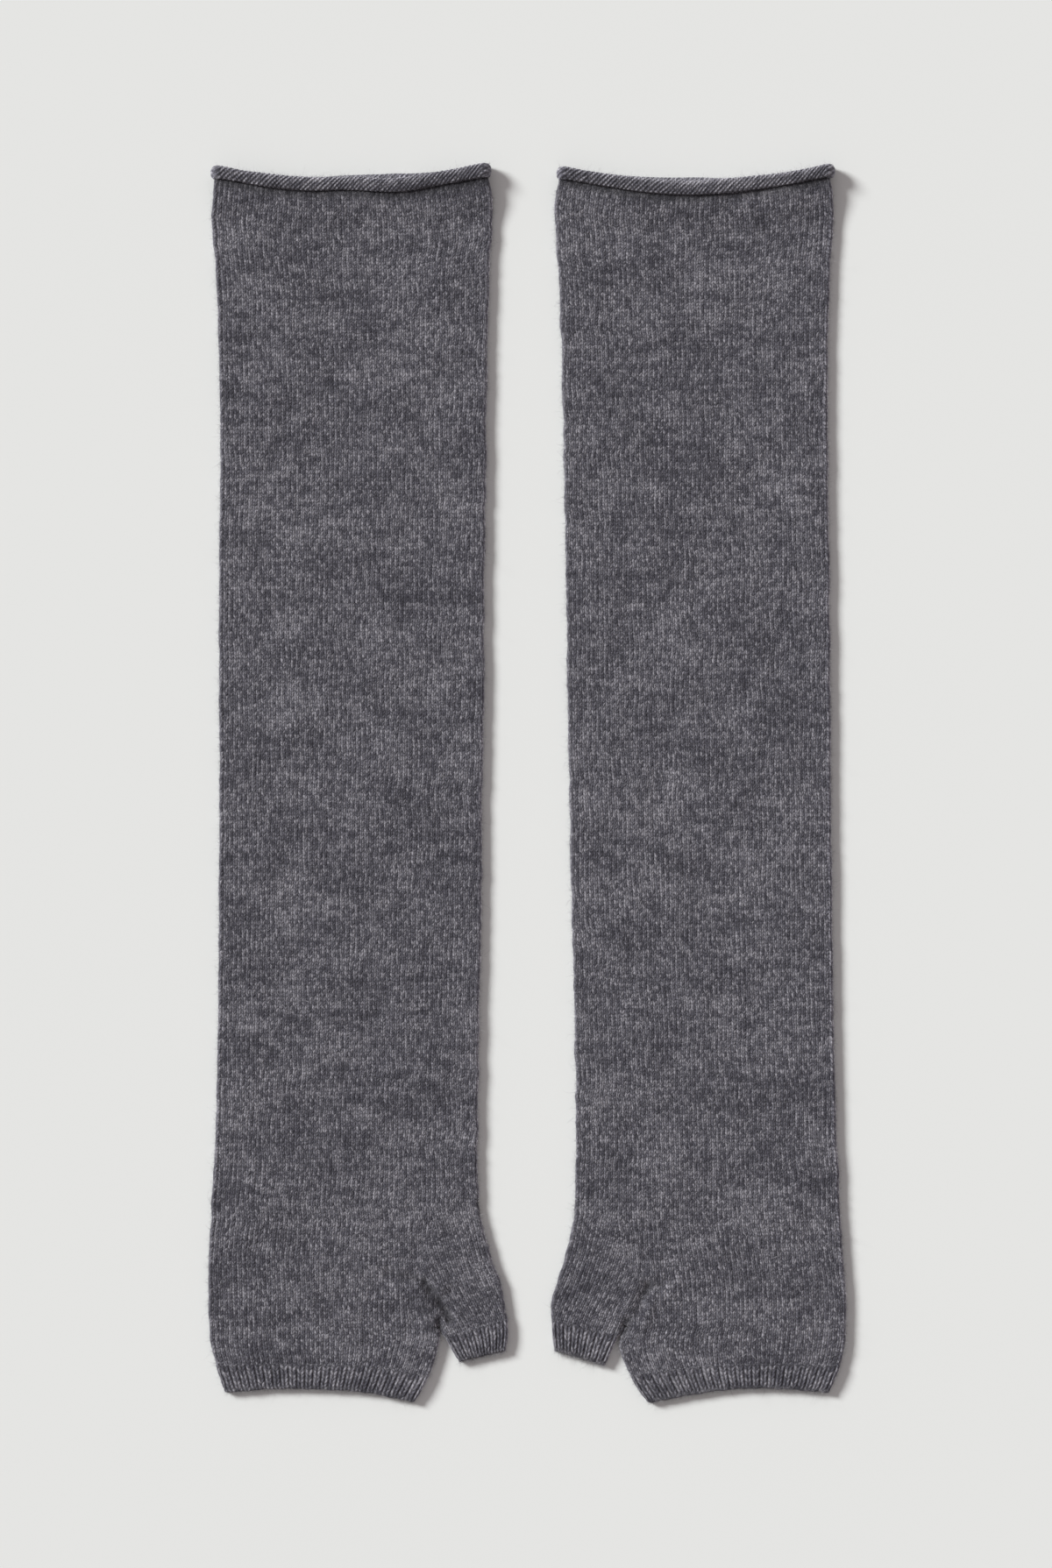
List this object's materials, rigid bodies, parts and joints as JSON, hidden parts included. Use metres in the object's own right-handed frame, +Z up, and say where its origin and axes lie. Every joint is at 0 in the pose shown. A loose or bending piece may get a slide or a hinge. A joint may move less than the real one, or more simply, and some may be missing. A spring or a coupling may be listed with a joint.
{
  "type": "pair of long fingerless gloves",
  "caption": "Pair of long fingerless gloves in fine knit, laid flat side by side, with rolled upper edges, ribbed hand cuffs and short ribbed thumbs.",
  "frame": {"origin": "on the table under the middle of the pair", "axes": "+X across the pair to the right-hand glove as seen from above, +Y along the arms towards the rolled edges, +Z up from the table"},
  "size_m": [0.2474, 0.48, 0.0078],
  "materials": {
    "jersey": "fine stocking stitch in a marled grey wool, matt and slightly fuzzy",
    "rolled_jersey": "the same knitting curled outwards, so that its purl side shows",
    "rib": "the same yarn in a narrow rib, its furrows a little darker"
  },
  "bodies": {
    "root": {"left_arm": "jersey", "left_rolled_edge": "rolled_jersey", "left_hand_rib": "rib", "left_thumb": "jersey", "left_thumb_rib": "rib", "right_arm": "jersey", "right_rolled_edge": "rolled_jersey", "right_hand_rib": "rib", "right_thumb": "jersey", "right_thumb_rib": "rib"}
  },
  "joints": []
}
